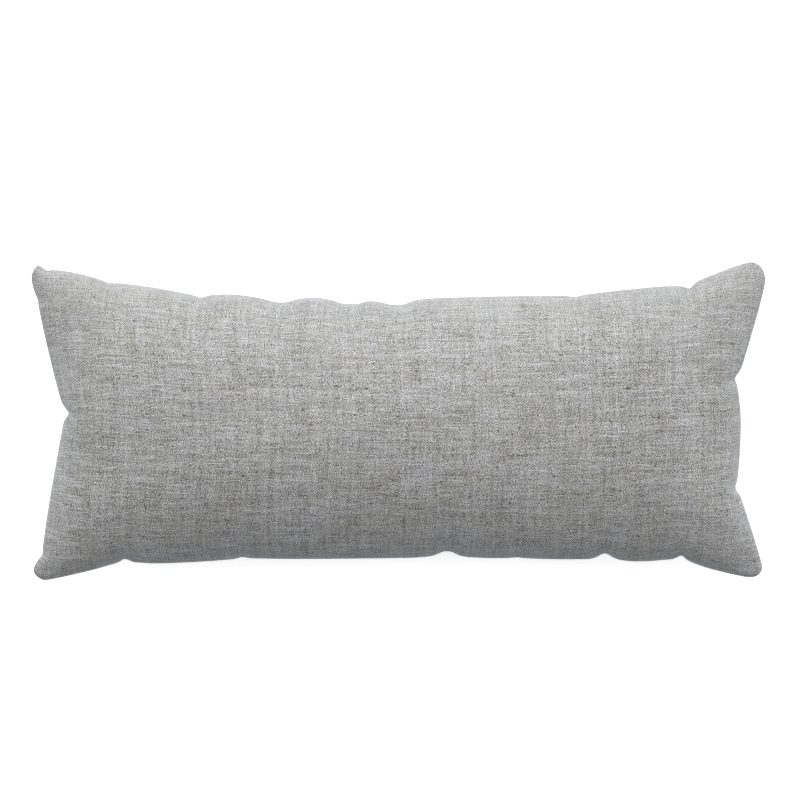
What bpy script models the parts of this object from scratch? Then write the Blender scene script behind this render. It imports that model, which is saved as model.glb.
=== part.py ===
"""Outdoor lumbar cushion: one filled, knife-edge cushion lying on its back.

Metres, +Z up. X runs along the cushion, Y across it, and Z from the back
panel, which rests on the surface, to the front panel. The origin is on the
resting face, under the middle of the cushion.

The cushion is a front and a back panel sewn together round the edge, turned
out and filled. The filling draws the four sides in between the corners, which
stay out as small ears, and the seam gathers in puckers with a fuller lobe of
cloth between each and the next.
"""

from collections import namedtuple

import bmesh
import bpy
import numpy as np

# ---------------------------------------------------------------- sizes
LENGTH = 0.711  # over the ears, along X
WIDTH = 0.308  # over the ears, along Y
THICKNESS = 0.138  # crown to crown, before the back is pressed flat
SETTLE = 0.008  # how deep the surface presses the back's crown flat

ACROSS_POWER, ACROSS_ROUND = 2.2, 0.52  # crown's section from side to side
ALONG_POWER, ALONG_ROUND = 5.0, 0.52  # crown's section from end to end
EDGE = 0.0055  # half the height of the cage's band along the seam
SEAM_WAVE = 0.0012  # how far the seam wanders up and down

LOBE_ROUND = 1.6  # 1 makes a lobe two straight lines, 2 two quarter ellipses
LOBE_REACH = 0.040  # how far in from the seam a lobe can be felt
EAR_FULL = 0.5  # 1 keeps an ear's tip as a point, and less rounds it
PUCKER_DEPTH = 0.10  # share of the crown's height that a pucker takes away
PUCKER_REACH = 0.030  # how far in from the seam it runs
PUCKER_WIDTH = 0.012  # half of its width at the seam

COLUMN_STEP = 0.0205  # about the gap between lines of the cage, along X
ROW_STEP = 0.0205  # about the gap between lines of the cage, along Y

CLOTH_COLOUR = (0.30, 0.30, 0.295, 1.0)

# ---------------------------------------------------------------- outline
# The corners: the middle and the radius of each round ear.
Ear = namedtuple("Ear", "x y radius")
EARS = {
    ("left", "top"): Ear(x=-0.3472, y=0.1421, radius=0.0082),
    ("right", "top"): Ear(x=0.3454, y=0.1443, radius=0.0098),
    ("left", "bottom"): Ear(x=-0.3430, y=-0.1448, radius=0.0094),
    ("right", "bottom"): Ear(x=0.3430, y=-0.1418, radius=0.0095),
}

# One row for each lobe of a side, going left to right or bottom to top. It
# starts at an ear, at the neck of an ear or at a pucker.
#   at     where it starts along the side, from the cushion's middle
#   dip    how far the seam is drawn in there from the overall size
#   soft   half the width of the flat bottom of that pucker
#   swell  how far the lobe stands out past the straight line to the next row
#   lean   where along the lobe it is fullest, from 0 to 1
Lobe = namedtuple("Lobe", "at dip soft swell lean")

TOP = (
    Lobe(at=-0.3472, dip=0.0038, soft=0.0000, swell=0.0008, lean=0.50),
    Lobe(at=-0.3398, dip=0.0075, soft=0.0015, swell=0.0026, lean=0.43),
    Lobe(at=-0.2790, dip=0.0204, soft=0.0030, swell=0.0024, lean=0.30),
    Lobe(at=-0.1905, dip=0.0345, soft=0.0020, swell=0.0048, lean=0.38),
    Lobe(at=-0.1130, dip=0.0393, soft=0.0115, swell=0.0054, lean=0.39),
    Lobe(at=-0.0440, dip=0.0413, soft=0.0060, swell=0.0031, lean=0.41),
    Lobe(at=-0.0035, dip=0.0417, soft=0.0090, swell=0.0048, lean=0.22),
    Lobe(at=0.1715, dip=0.0339, soft=0.0005, swell=0.0040, lean=0.79),
    Lobe(at=0.2820, dip=0.0255, soft=0.0018, swell=0.0045, lean=0.21),
    Lobe(at=0.3454, dip=0.0001, soft=0.0000, swell=0.0000, lean=0.50),
)
BOTTOM = (
    Lobe(at=-0.3430, dip=-0.0002, soft=0.0000, swell=0.0024, lean=0.61),
    Lobe(at=-0.2635, dip=0.0200, soft=0.0015, swell=0.0045, lean=0.27),
    Lobe(at=-0.1515, dip=0.0217, soft=0.0010, swell=0.0046, lean=0.88),
    Lobe(at=0.0455, dip=0.0265, soft=0.0050, swell=0.0069, lean=0.76),
    Lobe(at=0.2000, dip=0.0255, soft=0.0033, swell=0.0064, lean=0.35),
    Lobe(at=0.2737, dip=0.0230, soft=0.0010, swell=0.0036, lean=0.34),
    Lobe(at=0.3430, dip=0.0027, soft=0.0000, swell=0.0000, lean=0.50),
)
LEFT = (
    Lobe(at=-0.1448, dip=0.0030, soft=0.0000, swell=-0.0012, lean=0.70),
    Lobe(at=-0.1234, dip=0.0112, soft=0.0006, swell=0.0030, lean=0.93),
    Lobe(at=0.0080, dip=0.0362, soft=0.0018, swell=0.0040, lean=0.10),
    Lobe(at=0.1421, dip=0.0002, soft=0.0000, swell=0.0000, lean=0.50),
)
RIGHT = (
    Lobe(at=-0.1418, dip=0.0030, soft=0.0016, swell=0.0024, lean=0.82),
    Lobe(at=-0.0652, dip=0.0288, soft=0.0020, swell=0.0056, lean=0.70),
    Lobe(at=0.0409, dip=0.0300, soft=0.0018, swell=0.0040, lean=0.12),
    Lobe(at=0.1443, dip=0.0000, soft=0.0000, swell=0.0000, lean=0.50),
)

# The plain bow that each side makes without its lobes.
Bow = namedtuple("Bow", "depth power")
BOWS = {
    "top": Bow(depth=0.0370, power=3.6),
    "bottom": Bow(depth=0.0215, power=5.0),
    "left": Bow(depth=0.0330, power=1.7),
    "right": Bow(depth=0.0270, power=2.6),
}


def dip_at(rows, place):
    """How far a side is drawn in at each place along it."""
    drawn = np.interp(place, [row.at for row in rows], [row.dip for row in rows])
    for row, after in zip(rows, rows[1:]):
        start, end = row.at + row.soft, after.at - after.soft
        peak = row.at + row.lean * (after.at - row.at)
        rising = ((place - start) / (peak - start)).clip(0.0, 1.0)
        falling = ((end - place) / (end - peak)).clip(0.0, 1.0)
        near = 1 - np.minimum(rising, falling)
        drawn = drawn - row.swell * (1 - near**LOBE_ROUND) ** (1 / LOBE_ROUND)
    return drawn


def stations(first, second, low, high, most):
    """Cage lines through every pucker of two facing sides, evened between."""
    marks = sorted(row.at for row in first[1:-1] + second[1:-1] if abs(row.at) < 0.9 * high)
    marks = [low] + marks + [high]
    lines = []
    for start, end in zip(marks, marks[1:]):
        count = max(1, round((end - start) / most))
        lines += [start + (end - start) * k / count for k in range(count)]
    return np.array(lines + [high])


def ear_tip(across, along):
    """The point of an ear that lies furthest out, on its diagonal."""
    ear = EARS[across, along]
    reach = ear.radius / np.sqrt(2)
    return np.array([
        ear.x + (reach if across == "right" else -reach),
        ear.y + (reach if along == "top" else -reach),
    ])


def plan(lines_x, lines_y):
    """Where each cage point is, seen from above.

    Four plain bows are blended across the whole cushion. What the lobes and
    the ears add to them fades out within LOBE_REACH of the seam.
    """
    u = lines_x / lines_x[-1]
    v = lines_y / lines_y[-1]
    half_x, half_y = LENGTH / 2, WIDTH / 2
    bow_top = half_y - BOWS["top"].depth * (1 - np.abs(u) ** BOWS["top"].power)
    bow_bottom = -half_y + BOWS["bottom"].depth * (1 - np.abs(u) ** BOWS["bottom"].power)
    bow_left = -half_x + BOWS["left"].depth * (1 - np.abs(v) ** BOWS["left"].power)
    bow_right = half_x - BOWS["right"].depth * (1 - np.abs(v) ** BOWS["right"].power)
    s, t = (1 + u[:, None]) / 2, (1 + v[None, :]) / 2
    place = np.stack([
        bow_left[None, :] * (1 - s) + bow_right[None, :] * s,
        bow_bottom[:, None] * (1 - t) + bow_top[:, None] * t,
    ], 2)

    true = {
        "top": np.stack([lines_x, half_y - dip_at(TOP, lines_x)], 1),
        "bottom": np.stack([lines_x, dip_at(BOTTOM, lines_x) - half_y], 1),
        "left": np.stack([dip_at(LEFT, lines_y) - half_x, lines_y], 1),
        "right": np.stack([half_x - dip_at(RIGHT, lines_y), lines_y], 1),
    }
    true["top"][0] = true["left"][-1] = ear_tip("left", "top")
    true["top"][-1] = true["right"][-1] = ear_tip("right", "top")
    true["bottom"][0] = true["left"][0] = ear_tip("left", "bottom")
    true["bottom"][-1] = true["right"][0] = ear_tip("right", "bottom")

    def fade(lines, end):
        return np.exp(-((np.abs(lines - end) / LOBE_REACH) ** 1.5))

    near_top, near_bottom = fade(lines_y, lines_y[-1]), fade(lines_y, lines_y[0])
    near_left, near_right = fade(lines_x, lines_x[0]), fade(lines_x, lines_x[-1])
    off_top = (true["top"] - place[:, -1])[:, None]
    off_bottom = (true["bottom"] - place[:, 0])[:, None]
    off_left = (true["left"] - place[0])[None]
    off_right = (true["right"] - place[-1])[None]
    moved = (
        off_top * near_top[None, :, None]
        + off_bottom * near_bottom[None, :, None]
        + off_left * near_left[:, None, None]
        + off_right * near_right[:, None, None]
    )
    # At a corner both of its sides say the same, so it is counted once.
    for i, near_x in ((0, near_left), (-1, near_right)):
        for j, near_y in ((0, near_bottom), (-1, near_top)):
            off = (true["bottom" if j == 0 else "top"] - place[:, j])[i]
            moved -= off * near_x[:, None, None] * near_y[None, :, None]
    return place + moved


def stand_proud(place):
    """Moves the seam's cage points out by what the soft form rounds off.

    The finished seam passes each point at a third of the way to the middle
    of its two neighbours, so the points are set out until it passes through
    the places wanted. The ears are set out by half of that, which rounds them.
    """
    last_i, last_j = place.shape[0] - 1, place.shape[1] - 1
    ring = (
        [(i, 0) for i in range(last_i)]
        + [(last_i, j) for j in range(last_j)]
        + [(i, last_j) for i in range(last_i, 0, -1)]
        + [(0, j) for j in range(last_j, 0, -1)]
    )
    i, j = np.array(ring).T
    wanted = place[i, j]
    cage = wanted.copy()
    for _ in range(4):
        middle = (np.roll(cage, 1, axis=0) + np.roll(cage, -1, axis=0)) / 2
        cage = wanted + (cage - middle) / 3
    ears = [0, last_i, last_i + last_j, 2 * last_i + last_j]
    cage[ears] = wanted[ears] + EAR_FULL * (cage[ears] - wanted[ears])
    place = place.copy()
    place[i, j] = cage
    return place


def crown(lines_x, lines_y):
    """Half of the thickness at each cage point, before it is put down."""
    u, v = np.abs(lines_x / lines_x[-1]), np.abs(lines_y / lines_y[-1])
    along = (1 - u**ALONG_POWER).clip(0.0) ** ALONG_ROUND
    across = (1 - v**ACROSS_POWER).clip(0.0) ** ACROSS_ROUND
    height = THICKNESS / 2 * along[:, None] * across[None, :]

    def bell(distance, width):
        return np.exp(-((distance / width) ** 2))

    gathered = np.zeros_like(height)
    for rows, edge in ((TOP, lines_y[-1]), (BOTTOM, lines_y[0])):
        for row in rows[1:-1]:
            gathered += (
                bell(lines_x - row.at, PUCKER_WIDTH + row.soft)[:, None]
                * bell(lines_y - edge, PUCKER_REACH)[None, :]
            )
    for rows, edge in ((LEFT, lines_x[0]), (RIGHT, lines_x[-1])):
        for row in rows[1:-1]:
            gathered += (
                bell(lines_x - edge, PUCKER_REACH)[:, None]
                * bell(lines_y - row.at, PUCKER_WIDTH + row.soft)[None, :]
            )
    return height * (1 - PUCKER_DEPTH * gathered.clip(0.0, 1.0))


def seam_height(place):
    """The seam isn't quite level: it wanders as the lobes push on it."""
    return SEAM_WAVE * (
        np.sin(31.0 * place[..., 0] + 4.0 * place[..., 1])
        + 0.6 * np.sin(53.0 * place[..., 1] - 17.0 * place[..., 0] + 1.0)
    )


def panel(mesh, place, height):
    """One sewn panel: a grid whose points are moved to their places."""
    columns, rows = height.shape
    made = bmesh.ops.create_grid(
        mesh, x_segments=columns - 1, y_segments=rows - 1, size=1.0
    )["verts"]
    for vert in made:
        i = round((vert.co.x + 1) / 2 * (columns - 1))
        j = round((vert.co.y + 1) / 2 * (rows - 1))
        vert.co = (place[i, j, 0], place[i, j, 1], height[i, j])


def build_cushion(collection):
    tip_x = LENGTH / 2 - 0.0025
    tip_y = WIDTH / 2 - 0.0025
    lines_x = stations(TOP, BOTTOM, -tip_x, tip_x, COLUMN_STEP)
    lines_y = stations(LEFT, RIGHT, -tip_y, tip_y, ROW_STEP)
    place = stand_proud(plan(lines_x, lines_y))
    half = np.hypot(crown(lines_x, lines_y), EDGE)
    seam = seam_height(place)
    front = seam + half
    back = np.maximum(seam - half, SETTLE - THICKNESS / 2)

    mesh = bmesh.new()
    panel(mesh, place, front)
    panel(mesh, place, back)
    # A narrow band joins the two panels, with the seam along its middle.
    bmesh.ops.bridge_loops(
        mesh, edges=[edge for edge in mesh.edges if edge.is_boundary]
    )
    bmesh.ops.recalc_face_normals(mesh, faces=mesh.faces)
    data = bpy.data.meshes.new("cushion")
    mesh.to_mesh(data)
    mesh.free()

    cushion = bpy.data.objects.new("cushion", data)
    collection.objects.link(cushion)
    soften = cushion.modifiers.new("Soft form", "SUBSURF")
    soften.levels = 1
    soften.render_levels = 1
    data.shade_smooth()
    data.materials.append(cloth_material())
    return cushion


def cloth_material():
    cloth = bpy.data.materials.new("grey outdoor cloth")
    cloth.use_nodes = True
    shader = cloth.node_tree.nodes["Principled BSDF"]
    shader.inputs["Base Color"].default_value = CLOTH_COLOUR
    shader.inputs["Roughness"].default_value = 0.9
    shader.inputs["Metallic"].default_value = 0.0
    return cloth


def put_down(cushion):
    """Trues the overall size and stands the flat of the back on Z = 0."""
    bpy.context.view_layer.update()
    evaluated = cushion.evaluated_get(bpy.context.evaluated_depsgraph_get())
    shape = evaluated.to_mesh()
    points = np.array([vert.co[:] for vert in shape.vertices])
    evaluated.to_mesh_clear()
    low, high = points.min(axis=0), points.max(axis=0)
    middle = (low + high) / 2
    true = np.array([LENGTH, WIDTH]) / (high - low)[:2]
    for vert in cushion.data.vertices:
        vert.co = (
            (vert.co.x - middle[0]) * true[0],
            (vert.co.y - middle[1]) * true[1],
            vert.co.z - low[2],
        )
    bpy.context.view_layer.update()


def main():
    for old in list(bpy.data.objects):
        bpy.data.objects.remove(old, do_unlink=True)
    collection = bpy.data.collections.new("outdoor cushion")
    bpy.context.scene.collection.children.link(collection)
    cushion = build_cushion(collection)
    put_down(cushion)


main()
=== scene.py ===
"""Looks of the outdoor lumbar cushion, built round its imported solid.

Row frame, metres: +X along the cushion, +Y across it, +Z from the back panel,
which rests on the floor, to the front panel. The camera looks straight down on
the front panel.

The cushion is two equal rectangles of heathered grey cloth, sewn together
round the edge, turned out and filled. Both panels are laid out as one grid of
threads, (s, t) in metres of flat cloth. The grid is first set into its filled
form, then inflated as cloth with the seam held, and then gets its sewn groove,
its puckers and the flat that it rests on.
"""

import math
from collections import namedtuple

import bpy
import numpy as np
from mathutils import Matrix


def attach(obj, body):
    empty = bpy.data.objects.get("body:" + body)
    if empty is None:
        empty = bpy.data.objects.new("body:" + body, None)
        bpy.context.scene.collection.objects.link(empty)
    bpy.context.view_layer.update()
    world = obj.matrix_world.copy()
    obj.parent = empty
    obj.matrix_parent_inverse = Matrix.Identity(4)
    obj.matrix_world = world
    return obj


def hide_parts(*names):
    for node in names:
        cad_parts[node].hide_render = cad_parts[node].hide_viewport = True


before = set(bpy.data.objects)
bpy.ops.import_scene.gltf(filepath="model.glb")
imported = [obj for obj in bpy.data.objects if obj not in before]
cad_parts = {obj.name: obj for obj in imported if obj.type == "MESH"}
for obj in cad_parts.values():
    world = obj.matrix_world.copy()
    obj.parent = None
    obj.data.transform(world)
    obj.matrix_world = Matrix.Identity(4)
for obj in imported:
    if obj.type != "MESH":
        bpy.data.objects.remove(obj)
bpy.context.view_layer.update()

# ---------------------------------------------------------------- sizes
LENGTH = 0.711  # over the ears, along X
WIDTH = 0.308  # over the ears, along Y
THICKNESS = 0.138  # crown to crown, before the back is pressed flat
SETTLE = 0.008  # how deep the floor presses the back's crown flat
SEAM_LEVEL = THICKNESS / 2 - SETTLE  # height of the seam above the floor

ACROSS_POWER, ACROSS_ROUND = 2.2, 0.52  # crown's section from side to side
LOWER_POWER, LOWER_ROUND = 2.4, 0.43  # the fuller half of it, at the photo's bottom
ALONG_POWER, ALONG_ROUND = 5.0, 0.52  # crown's section from end to end
SEAM_HALF = 0.0009  # from the stitched line to the edge of either panel
SEAM_WAVE = 0.0012  # how far the seam wanders up and down
GROOVE = 0.0017  # how far the stitches pull the seam in between the panels
TIP_X, TIP_Y = 0.3530, 0.1515  # where the grid's corners meet the ears

LOBE_ROUND = 1.6  # 1 makes a lobe two straight lines, 2 two quarter ellipses
LOBE_REACH = 0.040  # how far in from the long seams a lobe can be felt
END_REACH = 0.012  # the same from the short seams

STEP = 0.0068  # between grid lines in the body, before the subdivision
EDGE_STEP = 0.0013  # between grid lines at the seam
EDGE_EASE = 0.0110  # how fast the one grows into the other
PUCKER_FINER = 1.3  # how much closer the lines are at a pucker
PUCKER_BAND = 0.0075

PRESSURE = 4.0
FRAMES = 20
CAP = 0.010  # how far the inflating may move a point

WARP_PITCH = 0.001087  # between threads that run across the cushion
WEFT_PITCH = 0.001204  # between threads that run along it
STITCH = 0.0030  # between the seam's stitches

# ---------------------------------------------------------------- outline
# Each ear is a quarter of a rounded shape about (x, y), wide by tall. A full
# of 2 makes it an ellipse, and less cuts its tip off flatter.
Ear = namedtuple("Ear", "x y wide tall full")
EARS = {
    ("left", "top"): Ear(x=-0.3472, y=0.1401, wide=0.0073, tall=0.0109, full=1.5),
    ("right", "top"): Ear(x=0.3417, y=0.1356, wide=0.0147, tall=0.0189, full=2.0),
    ("left", "bottom"): Ear(x=-0.3410, y=-0.1437, wide=0.0121, tall=0.0113, full=1.6),
    ("right", "bottom"): Ear(x=0.3424, y=-0.1414, wide=0.0108, tall=0.0109, full=1.8),
}
# How far each ear hangs below the rest of the seam, how far in from it that can
# be felt, and its form: 1 makes it a straight slope to the tip, 2 a round hump.
Droop = namedtuple("Droop", "down reach form")
DROOPS = {
    ("left", "top"): Droop(down=0.0045, reach=0.055, form=2.0),
    ("right", "top"): Droop(down=0.0065, reach=0.060, form=2.0),
    ("left", "bottom"): Droop(down=0.0155, reach=0.030, form=1.2),
    ("right", "bottom"): Droop(down=0.0250, reach=0.047, form=1.3),
}
# Where the filling pushes the front out a little more: a soft rise about (x, y),
# half its size either way and its height.
Rise = namedtuple("Rise", "x y wide tall high")
RISES = (
    Rise(x=-0.2980, y=-0.0040, wide=0.050, tall=0.048, high=0.0080),
    Rise(x=0.3180, y=-0.0860, wide=0.035, tall=0.036, high=0.0060),
    Rise(x=0.3370, y=-0.1270, wide=0.017, tall=0.016, high=0.0024),
    Rise(x=-0.3370, y=-0.1310, wide=0.015, tall=0.014, high=0.0018),
)

# One row for each lobe of a side, going left to right or bottom to top.
#   at     where it starts along the side, from the cushion's middle
#   dip    how far the seam is drawn in there from the overall size
#   soft   half the width of the flat bottom of that pucker
#   swell  how far the lobe stands out past the straight line to the next row
#   lean   where along the lobe it is fullest, from 0 to 1
Lobe = namedtuple("Lobe", "at dip soft swell lean")
TOP = (
    Lobe(at=-0.3472, dip=0.0030, soft=0.0000, swell=0.0008, lean=0.50),
    Lobe(at=-0.3395, dip=0.0076, soft=0.0015, swell=0.0028, lean=0.43),
    Lobe(at=-0.2790, dip=0.0202, soft=0.0030, swell=0.0022, lean=0.50),
    Lobe(at=-0.1905, dip=0.0346, soft=0.0020, swell=0.0046, lean=0.40),
    Lobe(at=-0.1140, dip=0.0391, soft=0.0095, swell=0.0051, lean=0.50),
    Lobe(at=-0.0460, dip=0.0406, soft=0.0110, swell=0.0030, lean=0.40),
    Lobe(at=-0.0010, dip=0.0416, soft=0.0090, swell=0.0045, lean=0.17),
    Lobe(at=0.1715, dip=0.0339, soft=0.0005, swell=0.0033, lean=0.75),
    Lobe(at=0.2820, dip=0.0251, soft=0.0018, swell=0.0033, lean=0.21),
    Lobe(at=0.3417, dip=-0.0005, soft=0.0000, swell=0.0000, lean=0.50),
)
BOTTOM = (
    Lobe(at=-0.3410, dip=-0.0010, soft=0.0000, swell=0.0019, lean=0.61),
    Lobe(at=-0.2635, dip=0.0195, soft=0.0015, swell=0.0044, lean=0.27),
    Lobe(at=-0.1500, dip=0.0218, soft=0.0010, swell=0.0046, lean=0.84),
    Lobe(at=0.0475, dip=0.0269, soft=0.0056, swell=0.0034, lean=0.36),
    Lobe(at=0.1150, dip=0.0222, soft=0.0000, swell=0.0042, lean=0.79),
    Lobe(at=0.2000, dip=0.0248, soft=0.0033, swell=0.0063, lean=0.35),
    Lobe(at=0.2737, dip=0.0229, soft=0.0010, swell=0.0038, lean=0.34),
    Lobe(at=0.3424, dip=0.0017, soft=0.0000, swell=0.0000, lean=0.50),
)
LEFT = (
    Lobe(at=-0.1437, dip=0.0024, soft=0.0000, swell=0.0009, lean=0.45),
    Lobe(at=-0.1285, dip=0.0119, soft=0.0012, swell=0.0039, lean=0.93),
    Lobe(at=0.0073, dip=0.0384, soft=0.0005, swell=0.0047, lean=0.13),
    Lobe(at=0.1170, dip=0.0074, soft=0.0004, swell=0.0019, lean=0.62),
    Lobe(at=0.1401, dip=0.0010, soft=0.0000, swell=0.0000, lean=0.50),
)
RIGHT = (
    Lobe(at=-0.1414, dip=0.0023, soft=0.0006, swell=0.0020, lean=0.85),
    Lobe(at=-0.0652, dip=0.0288, soft=0.0020, swell=0.0053, lean=0.60),
    Lobe(at=0.0409, dip=0.0294, soft=0.0014, swell=0.0033, lean=0.14),
    Lobe(at=0.1356, dip=-0.0009, soft=0.0000, swell=0.0000, lean=0.50),
)

# The plain bow that each side makes without its lobes.
Bow = namedtuple("Bow", "depth power")
BOWS = {
    "top": Bow(depth=0.0370, power=3.6),
    "bottom": Bow(depth=0.0215, power=5.0),
    "left": Bow(depth=0.0330, power=1.7),
    "right": Bow(depth=0.0270, power=2.6),
}

# The crease that runs in from each pucker.
#   side   the side it is on, and at, where along it
#   depth  how deep it is at the seam
#   width  half of its width there
#   reach  how far in it runs
#   slant  how far it leans along the side for each metre that it runs in
Crease = namedtuple("Crease", "side at depth width reach slant")
CREASES = (
    Crease("top", -0.3395, 0.0016, 0.0035, 0.012, 0.40),
    Crease("top", -0.2790, 0.0010, 0.0050, 0.016, 0.10),
    Crease("top", -0.1905, 0.0020, 0.0042, 0.020, 0.10),
    Crease("top", -0.1140, 0.0013, 0.0085, 0.022, 0.00),
    Crease("top", -0.0460, 0.0014, 0.0065, 0.020, 0.00),
    Crease("top", -0.0010, 0.0014, 0.0075, 0.022, 0.00),
    Crease("top", 0.1715, 0.0012, 0.0042, 0.018, -0.10),
    Crease("top", 0.2820, 0.0026, 0.0042, 0.020, -0.20),
    Crease("bottom", -0.2635, 0.0022, 0.0042, 0.020, 0.20),
    Crease("bottom", -0.1500, 0.0016, 0.0040, 0.018, 0.10),
    Crease("bottom", 0.0475, 0.0024, 0.0065, 0.022, 0.00),
    Crease("bottom", 0.2000, 0.0022, 0.0055, 0.020, -0.10),
    Crease("bottom", 0.2737, 0.0024, 0.0042, 0.018, -0.20),
    Crease("left", -0.1285, 0.0014, 0.0035, 0.012, 0.20),
    Crease("left", 0.0073, 0.0014, 0.0040, 0.009, 0.00),
    Crease("right", -0.0652, 0.0012, 0.0040, 0.008, 0.15),
    Crease("right", 0.0409, 0.0012, 0.0040, 0.008, -0.05),
)


def dip_at(rows, place):
    """How far a side is drawn in at each place along it."""
    drawn = np.interp(place, [row.at for row in rows], [row.dip for row in rows])
    for row, after in zip(rows, rows[1:]):
        start, end = row.at + row.soft, after.at - after.soft
        peak = row.at + row.lean * (after.at - row.at)
        rising = ((place - start) / (peak - start)).clip(0.0, 1.0)
        falling = ((end - place) / (end - peak)).clip(0.0, 1.0)
        near = 1 - np.minimum(rising, falling)
        drawn = drawn - row.swell * (1 - near**LOBE_ROUND) ** (1 / LOBE_ROUND)
    return drawn


def round_ear(ear, beyond, start):
    """The seam round an ear from one of its sides, at 0, to its tip, at 1."""
    angle = np.radians(start + (45.0 - start) * beyond)
    share = 2 / ear.full
    return np.stack([
        ear.x + math.copysign(ear.wide, ear.x) * np.cos(angle) ** share,
        ear.y + math.copysign(ear.tall, ear.y) * np.sin(angle) ** share,
    ], 1)


def side_points(side, places):
    """The seam in plan at places along a side, measured on the grid."""
    if side in ("top", "bottom"):
        rows, sign = (TOP, 1) if side == "top" else (BOTTOM, -1)
        points = np.stack([places, sign * (WIDTH / 2 - dip_at(rows, places))], 1)
        for end in ("left", "right"):
            ear = EARS[end, side]
            beyond = (np.sign(ear.x) * places - abs(ear.x)) / (TIP_X - abs(ear.x))
            points[beyond > 0] = round_ear(ear, beyond[beyond > 0], 90.0)
    else:
        rows, sign = (RIGHT, 1) if side == "right" else (LEFT, -1)
        points = np.stack([sign * (LENGTH / 2 - dip_at(rows, places)), places], 1)
        for end in ("bottom", "top"):
            ear = EARS[side, end]
            beyond = (np.sign(ear.y) * places - abs(ear.y)) / (TIP_Y - abs(ear.y))
            points[beyond > 0] = round_ear(ear, beyond[beyond > 0], 0.0)
    return points


def along_crown(u):
    return (1 - np.abs(u) ** ALONG_POWER).clip(0.0) ** ALONG_ROUND


def across_crown(v):
    return (1 - np.abs(v) ** ACROSS_POWER).clip(0.0) ** ACROSS_ROUND


def section(crown, half):
    """Cloth length from the middle of a section to its seam, by place."""
    place = 1 - np.linspace(1, 0, 4000) ** 3
    rise = THICKNESS / 2 * crown(place)
    length = np.concatenate([[0], np.cumsum(np.hypot(np.diff(place * half), np.diff(rise)))])
    return place, length


ALONG = section(along_crown, (LENGTH - BOWS["left"].depth - BOWS["right"].depth) / 2)
ACROSS = section(across_crown, (WIDTH - BOWS["top"].depth - BOWS["bottom"].depth) / 2)
CUT_S, CUT_T = ALONG[1][-1], ACROSS[1][-1]  # half of the flat panel


def grid_lines(half, tip, marks):
    """Grid lines over the flat cloth, closer at the seams and the puckers."""
    fine = np.linspace(-half, half, 20001)
    inward = half - np.abs(fine)
    gap = EDGE_STEP + (STEP - EDGE_STEP) * (1 - np.exp(-inward / EDGE_EASE))
    crowd = np.ones_like(fine)
    for mark in marks:
        crowd += PUCKER_FINER * np.exp(-(((fine - mark * half / tip) / PUCKER_BAND) ** 2))
    density = crowd / gap
    passed = np.concatenate([[0], np.cumsum((density[1:] + density[:-1]) / 2 * np.diff(fine))])
    count = int(round(passed[-1]))
    return np.interp(np.linspace(0, passed[-1], count + 1), passed, fine)


def spread_over(lines_s, lines_t):
    """(u, v) of each grid point, from -1 to 1, evened out over the cloth."""
    sigma, tau = lines_s / CUT_S, lines_t / CUT_T
    u0 = np.sign(sigma) * np.interp(np.abs(lines_s), ALONG[1], ALONG[0])
    v0 = np.sign(tau) * np.interp(np.abs(lines_t), ACROSS[1], ACROSS[0])
    u = sigma[:, None] + (u0 - sigma)[:, None] * across_crown(v0)[None, :] ** 1.3
    v = tau[None, :] + (v0 - tau)[None, :] * along_crown(u0)[:, None] ** 1.3
    return u, v


def plan(u, v):
    """Where each grid point is, seen from above."""
    shape = u.shape
    u, v = u.ravel(), v.ravel()
    half_x, half_y = LENGTH / 2, WIDTH / 2

    def bow(name, half, place):
        return half - BOWS[name].depth * (1 - np.abs(place) ** BOWS[name].power)

    s, t = (1 + u) / 2, (1 + v) / 2

    def evened(u, v, s, t):
        return np.stack([
            -bow("left", half_x, v) * (1 - s) + bow("right", half_x, v) * s,
            -bow("bottom", half_y, u) * (1 - t) + bow("top", half_y, u) * t,
        ], 1)

    place = evened(u, v, s, t)
    one, none = np.ones_like(u), np.zeros_like(u)
    off = {
        "top": side_points("top", u * TIP_X) - evened(u, one, s, one),
        "bottom": side_points("bottom", u * TIP_X) - evened(u, -one, s, none),
        "right": side_points("right", v * TIP_Y) - evened(one, v, one, t),
        "left": side_points("left", v * TIP_Y) - evened(-one, v, none, t),
    }

    def fade(inward, reach):
        return np.exp(-((inward / reach) ** 1.5))[:, None]

    near = {
        "top": fade((1 - v) * TIP_Y, LOBE_REACH), "bottom": fade((1 + v) * TIP_Y, LOBE_REACH),
        "right": fade((1 - u) * TIP_X, END_REACH), "left": fade((1 + u) * TIP_X, END_REACH),
    }
    moved = sum(off[side] * near[side] for side in off)
    # At a corner both of its sides say the same, so it is counted once.
    for end, at in (("left", -1.0), ("right", 1.0)):
        for side in ("bottom", "top"):
            corner = side_points(side, np.array([at * TIP_X]))
            corner_at = evened(
                np.array([at]), np.array([1.0 if side == "top" else -1.0]),
                np.array([(1 + at) / 2]), np.array([1.0 if side == "top" else 0.0]),
            )
            moved -= (corner - corner_at) * near[end] * near[side]
    return (place + moved).reshape(*shape, 2)


def seam_level(x, y):
    """The seam isn't quite level: the lobes push on it, and the ears hang."""
    wave = SEAM_WAVE * (
        np.sin(31.0 * x + 4.0 * y) + 0.6 * np.sin(53.0 * y - 17.0 * x + 1.0)
    )
    return SEAM_LEVEL + wave - hanging(x, y)


def hanging(x, y):
    """How far the seam hangs down near the ears."""
    down = 0.0
    for corner, droop in DROOPS.items():
        away = np.hypot(x - EARS[corner].x, y - EARS[corner].y) / droop.reach
        down = down + droop.down * np.exp(-(away**droop.form))
    return down


def press_flat(z, ease=0.0016):
    """The floor presses what would be under it flat, with a soft start."""
    eased = (z + ease) ** 2 / (4 * ease)
    return np.where(z <= -ease, 0.0, np.where(z < ease, eased, z))


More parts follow.
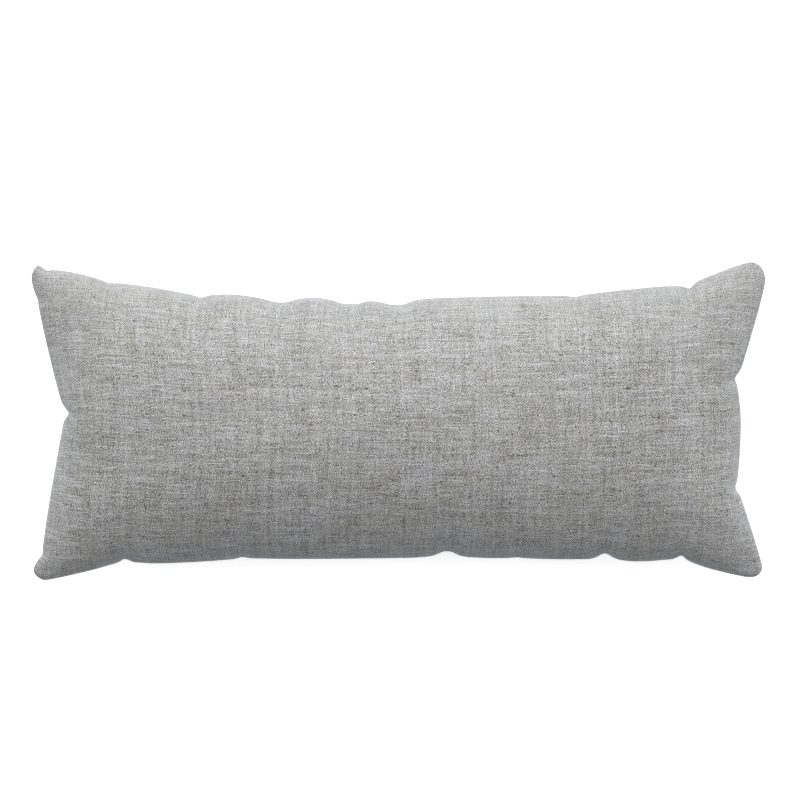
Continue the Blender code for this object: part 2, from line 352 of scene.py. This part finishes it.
def ring_of(columns, rows):
    """Grid indices once round the edge, from the bottom left corner."""
    return (
        [(i, 0) for i in range(columns - 1)]
        + [(columns - 1, j) for j in range(rows - 1)]
        + [(i, rows - 1) for i in range(columns - 1, 0, -1)]
        + [(0, j) for j in range(rows - 1, 0, -1)]
    )


def lay_out():
    """The cushion as a mesh: front grid, back grid and the seam between."""
    marks_s = [row.at for row in TOP[1:-1] + BOTTOM[1:-1]]
    marks_t = [row.at for row in LEFT[1:-1] + RIGHT[1:-1]]
    lines_s = grid_lines(CUT_S, TIP_X, marks_s)
    lines_t = grid_lines(CUT_T, TIP_Y, marks_t)
    u, v = spread_over(lines_s, lines_t)
    place = plan(u, v)
    # The plan is as the camera sees it. What hangs down looks smaller, so it
    # stands out a little more.
    hang = hanging(place[..., 0], place[..., 1])
    place += (place - EYE) * (hang / DISTANCE)[..., None]
    columns, rows = u.shape
    fuller = (1 - np.abs(v) ** LOWER_POWER).clip(0.0) ** LOWER_ROUND
    crown = THICKNESS / 2 * along_crown(u) * np.where(v < 0, fuller, across_crown(v))
    half = np.hypot(crown, SEAM_HALF)
    level = seam_level(place[..., 0], place[..., 1])
    pushed = sum(
        row.high * np.exp(-(((place[..., 0] - row.x) / row.wide) ** 2) - ((place[..., 1] - row.y) / row.tall) ** 2)
        for row in RISES
    )
    pushed = pushed * (1 - np.exp(-((crown / 0.015) ** 2)))
    front = np.dstack([place, level + half + pushed]).reshape(-1, 3)
    back = np.dstack([place, press_flat(level - half)]).reshape(-1, 3)
    ring = ring_of(columns, rows)
    i, j = np.array(ring).T
    edge = np.column_stack([place[i, j], level[i, j]])
    points = np.concatenate([front, back, edge])

    grid = np.arange(columns * rows).reshape(columns, rows)
    quads = np.stack([grid[:-1, :-1], grid[1:, :-1], grid[1:, 1:], grid[:-1, 1:]], 2).reshape(-1, 4)
    under = columns * rows
    back_quads = quads[:, ::-1] + under
    round_front = grid[i, j]
    round_back = round_front + under
    round_seam = 2 * under + np.arange(len(ring))
    upper = np.stack([round_seam, np.roll(round_seam, -1), np.roll(round_front, -1), round_front], 1)
    lower = np.stack([round_back, np.roll(round_back, -1), np.roll(round_seam, -1), round_seam], 1)
    faces = np.concatenate([quads, back_quads, upper, lower])

    # Flat cloth coordinates of every point; the seam is a little further out.
    flat = np.stack(np.meshgrid(lines_s, lines_t, indexing="ij"), 2)
    out = flat[i, j] + SEAM_HALF * np.column_stack([
        np.where(i == 0, -1, np.where(i == columns - 1, 1, 0)),
        np.where(j == 0, -1, np.where(j == rows - 1, 1, 0)),
    ])
    cut = np.concatenate([flat.reshape(-1, 2), flat.reshape(-1, 2), out])
    is_back = np.zeros(len(faces), bool)
    is_back[len(quads):2 * len(quads)] = True
    is_back[2 * len(quads) + len(upper):] = True

    mesh = bpy.data.meshes.new("cushion_cloth")
    mesh.from_pydata(points.tolist(), [], faces.tolist())
    mesh.validate()
    loops = np.empty(len(mesh.loops), np.int32)
    mesh.loops.foreach_get("vertex_index", loops)
    turned = np.repeat(is_back, 4)
    panel = cut[loops]
    # The weave's coordinates, in metres of flat cloth; the back panel is
    # another piece of the same cloth.
    weave = panel + np.where(turned[:, None], [2.0, 0.6], [0.0, 0.0])
    scale = 0.478 / (max(CUT_S, 2 * CUT_T) + SEAM_HALF)
    sheet = panel * scale + np.where(turned[:, None], [0.5, 0.25], [0.5, 0.75])
    for name, values in (("Panel", weave), ("OFBake", sheet)):
        layer = mesh.uv_layers.new(name=name)
        layer.data.foreach_set("uv", values.astype(np.float32).ravel())
    mesh.uv_layers["Panel"].active = True
    # What the later steps need to know of each point.
    side = np.concatenate([np.ones(under), -np.ones(under), np.zeros(len(ring))])
    places = plan_places(u, v, ring)
    for name, values in (("s", cut[:, 0]), ("t", cut[:, 1]), ("face", side),
                         ("u", places[:, 0]), ("v", places[:, 1])):
        layer = mesh.attributes.new(name, "FLOAT", "POINT")
        layer.data.foreach_set("value", values.astype(np.float32))
    mesh.update()
    print("grid", columns, rows, "faces", len(faces), "cut", CUT_S * 2, CUT_T * 2)
    return mesh


def plan_places(u, v, ring):
    """(u, v) of every point of the mesh, in the order it is laid out."""
    i, j = np.array(ring).T
    both = np.stack([u, v], 2)
    return np.concatenate([both.reshape(-1, 2), both.reshape(-1, 2), both[i, j]])


def read(mesh, name):
    values = np.empty(len(mesh.vertices), np.float32)
    mesh.attributes[name].data.foreach_get("value", values)
    return values.astype(float)


def points_of(mesh):
    points = np.empty(len(mesh.vertices) * 3, np.float32)
    mesh.vertices.foreach_get("co", points)
    return points.reshape(-1, 3).astype(float)


def set_points(mesh, points):
    mesh.vertices.foreach_set("co", points.astype(np.float32).ravel())
    mesh.update()


def inflate(cushion):
    """Blows the sewn cloth up for a moment, with its seam held in place."""
    mesh = cushion.data
    start = points_of(mesh)
    inward = np.minimum(CUT_S - np.abs(read(mesh, "s")), CUT_T - np.abs(read(mesh, "t")))
    held = cushion.vertex_groups.new(name="seam")
    free = ((inward - 0.003) / 0.012).clip(0.0, 1.0)
    for index in np.nonzero(free < 1)[0]:
        held.add([int(index)], float(1 - free[index]), "REPLACE")
    cloth = cushion.modifiers.new("Inflate", "CLOTH")
    settings = cloth.settings
    settings.quality = 5
    settings.mass = 0.05
    settings.tension_stiffness = 12.0
    settings.compression_stiffness = 12.0
    settings.shear_stiffness = 6.0
    settings.bending_stiffness = 1.5
    settings.use_pressure = True
    settings.uniform_pressure_force = PRESSURE
    settings.effector_weights.gravity = 0.0
    settings.vertex_group_mass = "seam"
    cloth.collision_settings.use_collision = False
    cloth.point_cache.frame_start = 1
    cloth.point_cache.frame_end = FRAMES
    scene = bpy.context.scene
    for number in range(1, FRAMES + 1):
        scene.frame_set(number)
    blown = cushion.evaluated_get(bpy.context.evaluated_depsgraph_get()).to_mesh()
    swollen = points_of(blown)
    cushion.modifiers.remove(cloth)
    scene.frame_set(1)
    move = swollen - start
    far = np.linalg.norm(move, axis=1)
    print("inflate: moved max %.4f mean %.4f" % (far.max(), far.mean()))
    move *= (CAP / np.maximum(far, CAP))[:, None]
    set_points(mesh, start + move)


def subdivide(cushion):
    soften = cushion.modifiers.new("Soften", "SUBSURF")
    soften.levels = soften.render_levels = 1
    soften.boundary_smooth = "ALL"
    soften.uv_smooth = "NONE"
    bpy.context.view_layer.update()
    done = bpy.data.meshes.new_from_object(
        cushion.evaluated_get(bpy.context.evaluated_depsgraph_get())
    )
    cushion.modifiers.remove(soften)
    old, cushion.data = cushion.data, done
    bpy.data.meshes.remove(old)
    done.name = "cushion_cloth"


def shape_edges(cushion):
    """The sewn groove, the puckers' creases and the soft folds from them."""
    mesh = cushion.data
    points = points_of(mesh)
    normals = np.empty(len(points) * 3, np.float32)
    mesh.vertices.foreach_get("normal", normals)
    normals = normals.reshape(-1, 3).astype(float)
    s, t, face = read(mesh, "s"), read(mesh, "t"), read(mesh, "face")
    u, v = read(mesh, "u"), read(mesh, "v")
    rise = np.abs(points[:, 2] - seam_level(points[:, 0], points[:, 1]))
    inward = {
        "top": CUT_T - t, "bottom": CUT_T + t, "right": CUT_S - s, "left": CUT_S + s,
    }
    along = {"top": u * TIP_X, "bottom": u * TIP_X, "left": v * TIP_Y, "right": v * TIP_Y}

    crease = np.zeros(len(points))
    for row in CREASES:
        depth_in = np.maximum(inward[row.side], 0)
        centre = row.at + row.slant * depth_in
        width = row.width * (1 + 0.6 * depth_in / row.reach)
        across = (along[row.side] - centre) / width
        fade = np.exp(-((depth_in / row.reach) ** 1.6))
        # A valley with a low shoulder on each side of it.
        crease += row.depth * fade * (
            np.exp(-(across**2)) - 0.28 * np.exp(-((np.abs(across) - 2.1) ** 2) / 1.2)
        )
    # The outline has its puckers already, so there a crease only goes down.
    inset = normals * crease[:, None]
    inset[:, :2] *= (1 - 0.85 * np.exp(-((rise / 0.007) ** 2)))[:, None]
    points -= inset

    # Soft folds run on from the long seams' puckers and die out towards the crown.
    fold = np.zeros(len(points))
    for row in CREASES:
        if row.side in ("left", "right"):
            continue
        depth_in = np.maximum(inward[row.side], 0)
        centre = row.at + row.slant * depth_in
        width = 0.010 + 0.20 * depth_in
        across = (along[row.side] - centre) / width
        fold += row.depth * 0.22 * np.exp(-((depth_in / 0.060) ** 2)) * (
            1 - np.exp(-((depth_in / 0.012) ** 2))
        ) * np.exp(-(across**2))
    points -= normals * fold[:, None]

    # The stitched line is pulled in between the two panels.
    outward = normals.copy()
    outward[:, 2] = 0
    outward /= np.maximum(np.linalg.norm(outward, axis=1), 1e-6)[:, None]
    groove = GROOVE * np.exp(-((rise / 0.0019) ** 2))
    points -= outward * groove[:, None]
    points[:, 2] = press_flat(points[:, 2], 0.0006)
    set_points(mesh, points)


# ---------------------------------------------------------------- material
class Graph:
    """Short names for wiring a material's nodes."""

    def __init__(self, tree):
        self.tree = tree

    def node(self, kind, **settings):
        made = self.tree.nodes.new(kind)
        for name, value in settings.items():
            setattr(made, name, value)
        return made

    def put(self, socket, value):
        if isinstance(value, bpy.types.NodeSocket):
            self.tree.links.new(value, socket)
        else:
            socket.default_value = value

    def math(self, operation, *values, clamp=False):
        made = self.node("ShaderNodeMath", operation=operation, use_clamp=clamp)
        for socket, value in zip(made.inputs, values):
            self.put(socket, value)
        return made.outputs[0]

    def add(self, *values):
        total = values[0]
        for value in values[1:]:
            total = self.math("ADD", total, value)
        return total

    def times(self, *values):
        total = values[0]
        for value in values[1:]:
            total = self.math("MULTIPLY", total, value)
        return total

    def xyz(self, x=0.0, y=0.0, z=0.0):
        made = self.node("ShaderNodeCombineXYZ")
        for socket, value in zip(made.inputs, (x, y, z)):
            self.put(socket, value)
        return made.outputs[0]

    def noise(self, at, scale=1.0, detail=2.0, roughness=0.5):
        made = self.node("ShaderNodeTexNoise", noise_dimensions="3D")
        self.put(made.inputs["Vector"], at)
        self.put(made.inputs["Scale"], scale)
        self.put(made.inputs["Detail"], detail)
        self.put(made.inputs["Roughness"], roughness)
        return made.outputs[0]

    def random(self, at):
        made = self.node("ShaderNodeTexWhiteNoise", noise_dimensions="3D")
        self.put(made.inputs["Vector"], at)
        return made.outputs[0]

    def between(self, share, first, second):
        """first where share is 0, second where it is 1."""
        made = self.node("ShaderNodeMix", data_type="FLOAT", clamp_factor=True)
        self.put(made.inputs[0], share)
        self.put(made.inputs[2], first)
        self.put(made.inputs[3], second)
        return made.outputs[0]

    def ramp(self, value, *stops):
        made = self.node("ShaderNodeValToRGB")
        bar = made.color_ramp
        while len(bar.elements) > 1:
            bar.elements.remove(bar.elements[-1])
        bar.elements[0].position, bar.elements[0].color = stops[0][0], (*stops[0][1], 1)
        for place, colour in stops[1:]:
            bar.elements.new(place).color = (*colour, 1)
        self.put(made.inputs[0], value)
        return made.outputs[0]

    def tinted(self, colour, factor):
        """colour times a factor."""
        made = self.node("ShaderNodeVectorMath", operation="SCALE")
        self.put(made.inputs[0], colour)
        self.put(made.inputs["Scale"], factor)
        return made.outputs[0]

    def multiplied(self, first, second):
        """Two colours, channel by channel."""
        made = self.node("ShaderNodeVectorMath", operation="MULTIPLY")
        self.put(made.inputs[0], first)
        self.put(made.inputs[1], second)
        return made.outputs[0]

    def mixed(self, share, first, second):
        made = self.node("ShaderNodeMix", data_type="RGBA", clamp_factor=True)
        self.put(made.inputs[0], share)
        self.put(made.inputs[6], first)
        self.put(made.inputs[7], second)
        return made.outputs[2]


def cloth_material():
    """A plain weave of heathered yarns, with slubs, patches and stitches."""
    material = bpy.data.materials.new("heathered_grey_weave")
    material.use_nodes = True
    g = Graph(material.node_tree)
    shader = material.node_tree.nodes["Principled BSDF"]

    uv = g.node("ShaderNodeUVMap", uv_map="Panel").outputs[0]
    split = g.node("ShaderNodeSeparateXYZ")
    g.put(split.inputs[0], uv)
    s, t = split.outputs[0], split.outputs[1]

    def centred(value, share):
        return g.times(g.math("SUBTRACT", value, 0.5), share)

    # The threads wander a little.
    drift = centred(g.noise(g.xyz(s, t, 1.7), 24.0, 2.0), 0.0022)
    sway = centred(g.noise(g.xyz(s, t, 5.3), 30.0, 2.0), 0.0026)
    warp = g.math("DIVIDE", g.add(s, drift), WARP_PITCH)
    weft = g.math("DIVIDE", g.add(t, sway), WEFT_PITCH)
    warp_n, weft_n = g.math("FLOOR", warp), g.math("FLOOR", weft)
    across_warp = g.math("SUBTRACT", g.math("FRACT", warp), 0.5)
    across_weft = g.math("SUBTRACT", g.math("FRACT", weft), 0.5)

    # Over one, under one.
    turn = g.math("FLOORED_MODULO", g.add(warp_n, weft_n), 2.0)
    sign = g.math("MULTIPLY_ADD", turn, -2.0, 1.0)
    bulge_warp = g.math("COSINE", g.times(across_warp, math.pi))
    bulge_weft = g.math("COSINE", g.times(across_weft, math.pi))
    high_warp = g.add(g.times(bulge_warp, 0.60), g.times(sign, bulge_weft, 0.40))
    high_weft = g.math("SUBTRACT", g.times(bulge_weft, 0.60), g.times(sign, bulge_warp, 0.40))
    height = g.math("MAXIMUM", high_warp, high_weft)
    weft_up = g.math("GREATER_THAN", high_weft, high_warp)

    # Each yarn is spun of light and dark fibres: its shade changes along it
    # in short slubs and long runs, and differs a little from yarn to yarn.
    def spun(across, along, rate, seed):
        place = g.xyz(g.times(across, 7.31), g.times(along, rate), seed)
        return g.noise(place, 1.0, 1.0, 0.6)

    tone_warp = g.add(
        centred(spun(warp_n, weft, 0.160, 2.0), 0.45),
        centred(spun(warp_n, weft, 0.035, 12.0), 0.36),
        centred(g.random(g.xyz(warp_n, 11.0, 0.5)), 0.09),
    )
    tone_weft = g.add(
        centred(spun(weft_n, warp, 0.160, 22.0), 0.49),
        centred(spun(weft_n, warp, 0.030, 32.0), 0.67),
        centred(g.random(g.xyz(weft_n, 37.0, 0.5)), 0.08),
    )
    yarns = g.between(weft_up, tone_warp, tone_weft)

    # From one crossing to the next the shade mostly jumps the other way.
    def crossing(right, up):
        return g.random(g.xyz(g.add(warp_n, right), g.add(weft_n, up), 3.5))

    speck = crossing(0.0, 0.0)
    around = g.add(crossing(1.0, 0.0), crossing(-1.0, 0.0), crossing(0.0, 1.0), crossing(0.0, -1.0))
    grain = g.math("SUBTRACT", speck, g.times(around, 0.29))
    check = g.times(sign, g.noise(g.xyz(g.times(warp, 0.25), g.times(weft, 0.25), 6.0), 1.0, 1.0))
    fleck = g.noise(g.xyz(g.times(warp, 0.25), g.times(weft, 0.60), 14.0), 1.0, 1.0)

    # Neighbouring yarns come off the same cone, which makes faint bands.
    band = g.noise(g.xyz(g.times(warp, 0.020), g.times(weft, 0.090), 61.0), 1.0, 1.0)
    stripe = g.noise(g.xyz(g.times(warp, 0.110), g.times(weft, 0.024), 71.0), 1.0, 1.0)
    cloud = g.noise(g.xyz(g.times(s, 18.0), g.times(t, 24.0), 0.3), 1.0, 2.0, 0.55)
    broad = g.add(centred(band, 0.062), centred(stripe, 0.064), centred(cloud, 0.040))

    # A few thick dark slubs along the cushion, some dark motes and light nubs.
    slub = g.noise(g.xyz(g.times(warp, 0.16), g.times(weft, 0.42), 84.0), 1.0, 1.0)
    slub = g.math("MAXIMUM", g.math("SUBTRACT", slub, 0.66), 0.0)
    nub = g.math("GREATER_THAN", speck, 0.990)
    mote = g.math("LESS_THAN", speck, 0.040)

    # How far in from the seam: front and back panel lie side by side here.
    on_back = g.math("GREATER_THAN", s, 1.0)
    along_s = g.math("SUBTRACT", s, g.times(on_back, 2.0))
    along_t = g.math("SUBTRACT", t, g.times(on_back, 0.6))
    from_end = g.math("SUBTRACT", CUT_S + SEAM_HALF, g.math("ABSOLUTE", along_s))
    from_side = g.math("SUBTRACT", CUT_T + SEAM_HALF, g.math("ABSOLUTE", along_t))
    inward = g.math("MINIMUM", from_end, from_side)
    along = g.between(g.math("LESS_THAN", from_end, from_side), along_s, along_t)

    def bell(value, middle, width):
        """1 at the middle, falling off smoothly on both sides of it."""
        away = g.math("DIVIDE", g.math("SUBTRACT", value, middle), width)
        return g.math("EXPONENT", g.times(away, away, -1.0))

    # The weave is a little plainer towards either long side.
    upper = g.node("ShaderNodeMapRange", interpolation_type="SMOOTHSTEP")
    for socket, value in zip(upper.inputs, (along_t, -0.060, 0.020, 0.0, 0.095)):
        g.put(socket, value)
    plainer = g.add(
        upper.outputs[0],
        g.times(bell(along_t, CUT_T, 0.070), 0.25),
        g.times(bell(along_t, -CUT_T, 0.040), 0.14),
    )
    strength = g.math("SUBTRACT", 0.980, plainer)

    uneven = g.add(
        yarns, broad, g.times(grain, 0.245), g.times(check, 0.11), centred(fleck, 0.06),
        g.times(slub, -2.0), g.times(nub, 0.14), g.times(mote, -0.12),
    )
    tone = g.math("MULTIPLY_ADD", uneven, strength, 0.520)
    colour = g.ramp(
        tone,
        (0.305, (0.0967, 0.0963, 0.0940)),
        (0.384, (0.1724, 0.1719, 0.1686)),
        (0.498, (0.3156, 0.3149, 0.3102)),
        (0.619, (0.4796, 0.4788, 0.4729)),
        (0.765, (0.6493, 0.6483, 0.6413)),
    )

    # Patches of the cloth lean to green or to lavender, the lighter ones
    # more to lavender.
    hue = g.noise(g.xyz(g.times(s, 26.0), g.times(t, 40.0), 7.7), 1.0, 3.0, 0.6)
    fibre = g.noise(g.xyz(g.times(s, 190.0), g.times(t, 280.0), 17.7), 1.0, 1.0)
    leaning = g.add(centred(hue, 0.66), centred(fibre, 0.45), g.times(g.add(yarns, broad), 2.2))
    cool = g.math("ADD", leaning, 0.5, clamp=True)
    tint = g.mixed(cool, (1.030, 1.009, 0.907, 1.0), (0.970, 0.988, 1.078, 1.0))
    ruddy = g.math("MULTIPLY_ADD", stripe, 1.6, -0.3, clamp=True)
    blush = g.mixed(ruddy, (0.992, 1.003, 1.001, 1.0), (1.008, 0.997, 0.999, 1.0))
    hued = g.multiplied(colour, g.multiplied(tint, blush))

    # The lockstitch pulls a small dimple into the groove every 3 mm.
    groove = g.math("EXPONENT", g.times(g.math("POWER", g.math("DIVIDE", inward, 0.0010), 2.0), -1.0))
    beat = g.math("SINE", g.times(along, math.pi / STITCH))
    dimple = g.times(groove, beat, beat)

    # Cloth beside the seam is a little paler, cooler and softer of grain: partly wear, partly painted sheen. Not at
    # the ears, which are painted a little darker as shade instead.
    out_of_corner = g.add(g.times(from_end, from_end), g.times(from_side, from_side))
    painted_ear_shade = g.math("EXPONENT", g.times(out_of_corner, -1 / 0.020**2))
    edge = g.math("EXPONENT", g.times(g.math("DIVIDE", g.math("MAXIMUM", inward, 0.0), 0.0060), -1.0))
    wear_and_sheen = g.times(
        edge, g.math("MULTIPLY_ADD", cloud, 0.9, 0.05), g.math("SUBTRACT", 1.0, painted_ear_shade)
    )
    # Painted sheen with some wear: beside the seam the colour turns to a pale, cool grey.
    wear_and_sheen_colour = g.mixed(wear_and_sheen, hued, (0.345, 0.346, 0.352, 1.0))

    # Painted shade between the yarns, in the stitched groove and in its dimples.
    depth = g.math("MULTIPLY_ADD", height, 0.42, 0.66, clamp=True)
    inset = g.math("MULTIPLY_ADD", g.add(g.times(groove, 0.6), g.times(dimple, 0.4)), -0.30, 1.0)
    # Painted shade: the ears are made a little darker.
    darker = g.math("MULTIPLY_ADD", painted_ear_shade, -0.05, 1.0)
    g.put(shader.inputs["Base Color"], g.tinted(wear_and_sheen_colour, g.times(depth, inset, darker)))

    rough = g.math("MULTIPLY_ADD", speck, 0.10, 0.80)
    g.put(shader.inputs["Roughness"], g.math("SUBTRACT", rough, g.times(wear_and_sheen, 0.10)))
    shader.inputs["Metallic"].default_value = 0.0
    shader.inputs["Specular IOR Level"].default_value = 0.25
    shader.inputs["Sheen Weight"].default_value = 0.22
    shader.inputs["Sheen Roughness"].default_value = 0.45
    shader.inputs["Sheen Tint"].default_value = (0.93, 0.95, 1.0, 1.0)

    bump = g.node("ShaderNodeBump")
    bump.inputs["Strength"].default_value = 0.55
    bump.inputs["Distance"].default_value = 0.00035
    g.put(
        bump.inputs["Height"],
        g.add(g.times(height, g.math("MULTIPLY_ADD", wear_and_sheen, -0.5, 1.0)), g.times(speck, 0.35), g.times(dimple, -2.0)),
    )
    g.put(shader.inputs["Normal"], bump.outputs[0])
    return material


def plain_material(name, colour, emission=0.0, roughness=0.9):
    material = bpy.data.materials.new(name)
    material.use_nodes = True
    shader = material.node_tree.nodes["Principled BSDF"]
    shader.inputs["Base Color"].default_value = (*colour, 1.0)
    shader.inputs["Roughness"].default_value = roughness
    shader.inputs["Specular IOR Level"].default_value = 0.1
    shader.inputs["Emission Color"].default_value = (*colour, 1.0)
    shader.inputs["Emission Strength"].default_value = emission
    return material


# ---------------------------------------------------------------- stage
PIXEL = 0.711 / 735.5  # metres that one pixel of the frame spans at the seam
FRAME = 800
CENTRE_PX = (397.75, 420.5)  # where the cushion's middle is in the frame
LENS = 110.0
SENSOR = 36.0
EYE = ((FRAME / 2 - CENTRE_PX[0]) * PIXEL, (CENTRE_PX[1] - FRAME / 2) * PIXEL)
DISTANCE = FRAME * PIXEL * LENS / SENSOR  # from the camera down to the seam

# The soft lights: the compass direction of each one's middle (0 is +X, 90 the
# photo's top), its height over the floor, how tightly it gathers, its radiance.
Softbox = namedtuple("Softbox", "azimuth height gather radiance")
SOFTBOXES = (
    Softbox(90.0, 15.0, 0.5, 2.640),
    Softbox(0.0, 5.0, 3.0, 0.530),
    Softbox(180.0, 5.0, 3.0, 0.285),
)
FLOOR_GLOW = 0.70  # the floor that is seen is lit from below too: no dark shadow
CARD_GLOW = 0.313  # the card under it that lights the cushion from below
CARD_TINT = (0.948, 0.995, 1.060)  # it is a little cool


def add_camera():
    data = bpy.data.cameras.new("camera")
    data.lens, data.sensor_width, data.sensor_fit = LENS, SENSOR, "HORIZONTAL"
    data.clip_start, data.clip_end = 0.05, 60.0
    camera = bpy.data.objects.new("camera", data)
    bpy.context.scene.collection.objects.link(camera)
    camera.location = (*EYE, SEAM_LEVEL + DISTANCE)
    camera.rotation_euler = (0.0, 0.0, 0.0)
    bpy.context.scene.camera = camera


def add_world():
    """A plain soft studio: brightest from the photo's top, dim below."""
    world = bpy.data.worlds.new("studio")
    world.use_nodes = True
    g = Graph(world.node_tree)
    back = world.node_tree.nodes["Background"]
    at = g.node("ShaderNodeTexCoord").outputs["Generated"]
    lit = []
    for box in SOFTBOXES:
        azimuth, height = math.radians(box.azimuth), math.radians(box.height)
        middle = (
            math.cos(azimuth) * math.cos(height), math.sin(azimuth) * math.cos(height), math.sin(height)
        )
        # The cosine of the angle to the middle of this softbox.
        toward = g.node("ShaderNodeVectorMath", operation="DOT_PRODUCT")
        g.put(toward.inputs[0], at)
        g.put(toward.inputs[1], middle)
        facing = g.math("MAXIMUM", toward.outputs["Value"], 0.0)
        lit.append(g.times(g.math("POWER", facing, box.gather), box.radiance))
    g.put(back.inputs["Strength"], g.add(*lit))
    back.inputs["Color"].default_value = (1.0, 1.0, 1.0, 1.0)
    bpy.context.scene.world = world


def add_sheet(name, half, level, material):
    mesh = bpy.data.meshes.new(name)
    mesh.from_pydata(
        [(-half, -half, 0), (half, -half, 0), (half, half, 0), (-half, half, 0)], [], [(0, 1, 2, 3)]
    )
    mesh.materials.append(material)
    sheet = bpy.data.objects.new(name, mesh)
    sheet.location.z = level
    bpy.context.scene.collection.objects.link(sheet)
    return sheet


def add_stage():
    """The floor that is seen, the card that lights from below, the backdrop."""
    seen = plain_material("pale_floor", (0.86, 0.86, 0.86), FLOOR_GLOW / 0.86)
    floor = add_sheet("floor", 18.0, -0.0002, seen)
    glow = plain_material("pale_card", tuple(0.70 * part for part in CARD_TINT), CARD_GLOW / 0.70)
    card = add_sheet("floor_card", 18.0, -0.0004, glow)
    card.visible_camera = False

    count, radius, tall = 96, 17.5, 12.0
    ring = [
        (radius * math.cos(2 * math.pi * k / count), radius * math.sin(2 * math.pi * k / count))
        for k in range(count)
    ]
    mesh = bpy.data.meshes.new("backdrop")
    mesh.from_pydata(
        [(x, y, -0.01) for x, y in ring] + [(x, y, tall) for x, y in ring],
        [],
        [(k, (k + 1) % count, count + (k + 1) % count, count + k) for k in range(count)],
    )
    backdrop = bpy.data.objects.new("backdrop", mesh)
    mesh.materials.append(plain_material("pale_backdrop", (0.97, 0.97, 0.97), 1.0))
    bpy.context.scene.collection.objects.link(backdrop)
    for seen_only in (floor, backdrop):
        seen_only.visible_diffuse = False
        seen_only.visible_glossy = False
        seen_only.visible_transmission = False
        seen_only.visible_volume_scatter = False
        seen_only.visible_shadow = False


# ---------------------------------------------------------------- build
add_camera()
add_world()
add_stage()
bpy.context.scene.view_settings.view_transform = "Standard"
bpy.context.scene.cycles.denoising_prefilter = "NONE"  # keeps the weave's grain

cushion = bpy.data.objects.new("cushion_cover", lay_out())
bpy.context.scene.collection.objects.link(cushion)
inflate(cushion)
subdivide(cushion)
shape_edges(cushion)
cushion.data.materials.append(cloth_material())
cushion.data.shade_smooth()
cushion.vertex_groups.clear()
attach(cushion, "root")
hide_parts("cushion")
